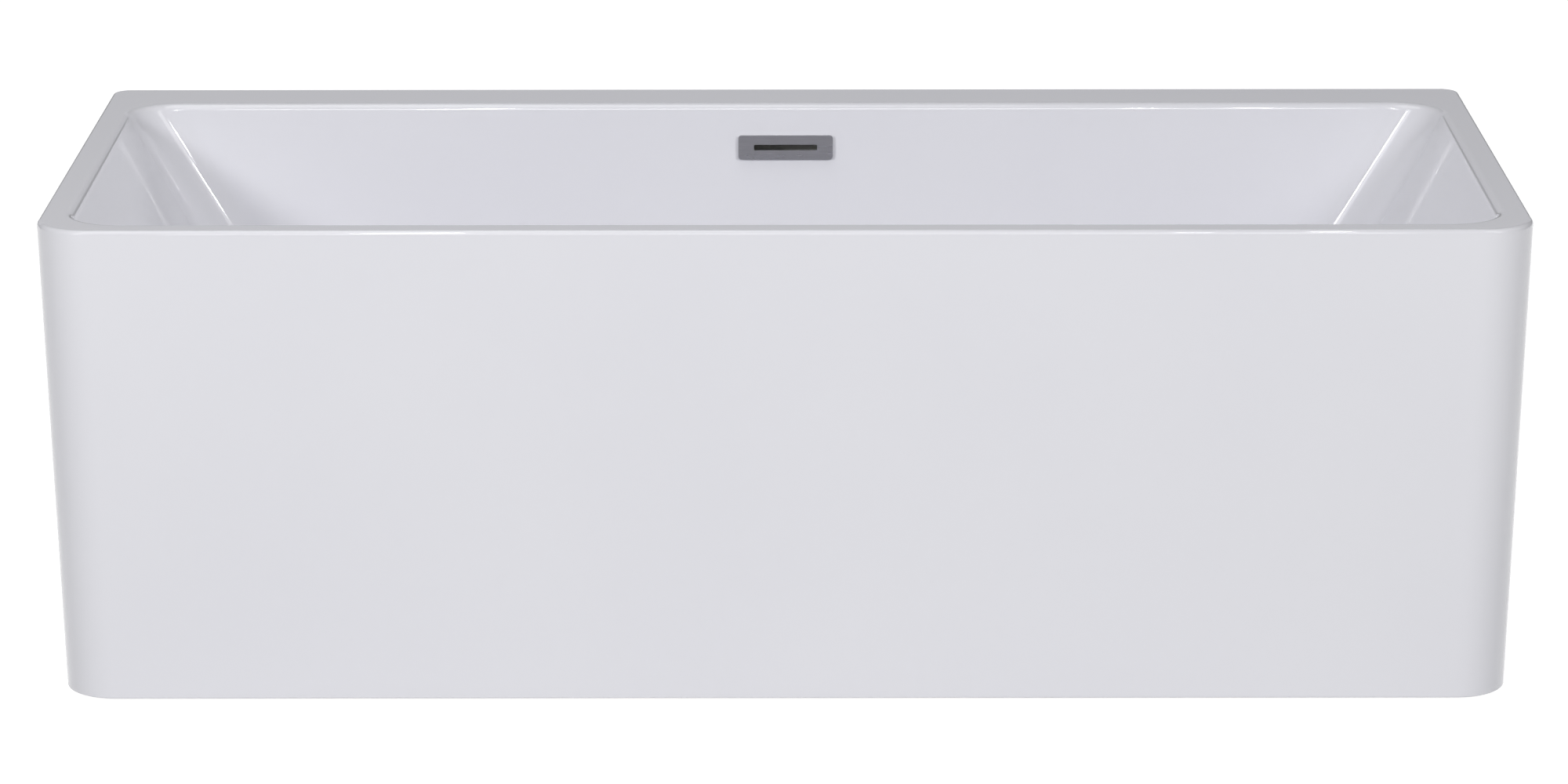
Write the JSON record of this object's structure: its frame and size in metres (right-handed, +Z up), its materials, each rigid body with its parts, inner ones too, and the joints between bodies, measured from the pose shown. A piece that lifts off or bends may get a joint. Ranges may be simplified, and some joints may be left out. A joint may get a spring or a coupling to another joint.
{
  "type": "bathtub",
  "caption": "Back-to-wall freestanding bathtub with a rectangular sloping-end basin, three-sided skirt, steel frame on levelling feet, slot overflow and push-button waste.",
  "frame": {"origin": "on the floor, under the middle of the bath's bounding box", "axes": "+X along the bath to the right, +Y towards the wall behind it, +Z up"},
  "size_m": [1.7, 0.75, 0.565],
  "materials": {
    "acrylic": "gloss white sanitary acrylic",
    "fibreglass": "rough chopped-strand laminate",
    "plywood": "bare plywood",
    "timber": "bare planed softwood",
    "zinc_steel": "galvanised",
    "screw_steel": "bright zinc plated",
    "spring_steel": "drawn wire",
    "black_plastic": "moulded",
    "foot_rubber": "moulded",
    "rubber": "moulded",
    "brushed_chrome": "satin chrome plated",
    "chrome": "polished chrome plated",
    "grey_plastic": "moulded",
    "white_plastic": "moulded",
    "brass": "turned"
  },
  "bodies": {
    "bath": {"inner_tub": "acrylic", "tub_backing": "fibreglass", "outer_skirt": "acrylic", "skirt_backing": "fibreglass", "base_board": "plywood", "rear_rim_batten": "timber", "front_rail": "zinc_steel", "rear_rail": "zinc_steel", "left_rail": "zinc_steel", "right_rail": "zinc_steel", "left_cross_member": "zinc_steel", "right_cross_member": "zinc_steel", "rear_left_post": "zinc_steel", "rear_right_post": "zinc_steel", "rail_end_caps": "black_plastic", "board_screws": "screw_steel", "skirt_blocks": "timber", "skirt_brackets": "zinc_steel", "skirt_bracket_screws": "screw_steel", "foot_weld_nuts": "screw_steel", "foot_locknuts": "screw_steel", "overflow_cover": "brushed_chrome", "overflow_mount": "grey_plastic", "overflow_screws": "screw_steel", "overflow_seal": "rubber", "overflow_body": "white_plastic", "overflow_pipe": "white_plastic", "overflow_bend": "white_plastic", "cross_pipe": "white_plastic", "overflow_pipe_nut": "grey_plastic", "waste_pipe_nut": "grey_plastic", "waste_flange": "chrome", "waste_upper_seal": "rubber", "waste_lower_seal": "rubber", "waste_body": "white_plastic", "plug_cartridge": "brass", "plug_spring": "spring_steel"},
    "front_left_pad": {"front_left_foot_pad": "foot_rubber"},
    "front_left_stud": {"front_left_foot_stud": "screw_steel"},
    "front_middle_pad": {"front_middle_foot_pad": "foot_rubber"},
    "front_middle_stud": {"front_middle_foot_stud": "screw_steel"},
    "front_right_pad": {"front_right_foot_pad": "foot_rubber"},
    "front_right_stud": {"front_right_foot_stud": "screw_steel"},
    "rear_left_pad": {"rear_left_foot_pad": "foot_rubber"},
    "rear_left_stud": {"rear_left_foot_stud": "screw_steel"},
    "rear_right_pad": {"rear_right_foot_pad": "foot_rubber"},
    "rear_right_stud": {"rear_right_foot_stud": "screw_steel"},
    "plug": {"plug_cap": "chrome", "plug_seal": "rubber", "plug_stem": "brass"}
  },
  "joints": [
    {"name": "front_left_foot_height", "type": "slide", "parent": "bath", "child": "front_left_pad", "axis": [0, 0, 1], "range_m": [-0.01, 0.005]},
    {"name": "front_left_stud_turn", "type": "hinge", "parent": "front_left_pad", "child": "front_left_stud", "pos_m": [-0.72, -0.3, 0.05], "axis": [0, 0, 1], "range_deg": [-2400, 1200]},
    {"name": "front_middle_foot_height", "type": "slide", "parent": "bath", "child": "front_middle_pad", "axis": [0, 0, 1], "range_m": [-0.01, 0.005]},
    {"name": "front_middle_stud_turn", "type": "hinge", "parent": "front_middle_pad", "child": "front_middle_stud", "pos_m": [0, -0.3, 0.05], "axis": [0, 0, 1], "range_deg": [-2400, 1200]},
    {"name": "front_right_foot_height", "type": "slide", "parent": "bath", "child": "front_right_pad", "axis": [0, 0, 1], "range_m": [-0.01, 0.005]},
    {"name": "front_right_stud_turn", "type": "hinge", "parent": "front_right_pad", "child": "front_right_stud", "pos_m": [0.72, -0.3, 0.05], "axis": [0, 0, 1], "range_deg": [-2400, 1200]},
    {"name": "rear_left_foot_height", "type": "slide", "parent": "bath", "child": "rear_left_pad", "axis": [0, 0, 1], "range_m": [-0.01, 0.005]},
    {"name": "rear_left_stud_turn", "type": "hinge", "parent": "rear_left_pad", "child": "rear_left_stud", "pos_m": [-0.72, 0.31, 0.05], "axis": [0, 0, 1], "range_deg": [-2400, 1200]},
    {"name": "rear_right_foot_height", "type": "slide", "parent": "bath", "child": "rear_right_pad", "axis": [0, 0, 1], "range_m": [-0.01, 0.005]},
    {"name": "rear_right_stud_turn", "type": "hinge", "parent": "rear_right_pad", "child": "rear_right_stud", "pos_m": [0.72, 0.31, 0.05], "axis": [0, 0, 1], "range_deg": [-2400, 1200]},
    {"name": "plug_lift", "type": "slide", "parent": "bath", "child": "plug", "axis": [0, 0, 1], "range_m": [0, 0.008], "deforming": ["plug_spring"]}
  ],
  "couplings": [
    {"joint": "front_left_stud_turn", "follows": "front_left_foot_height", "rad_per_m": 4188.8},
    {"joint": "front_middle_stud_turn", "follows": "front_middle_foot_height", "rad_per_m": 4188.8},
    {"joint": "front_right_stud_turn", "follows": "front_right_foot_height", "rad_per_m": 4188.8},
    {"joint": "rear_left_stud_turn", "follows": "rear_left_foot_height", "rad_per_m": 4188.8},
    {"joint": "rear_right_stud_turn", "follows": "rear_right_foot_height", "rad_per_m": 4188.8}
  ]
}
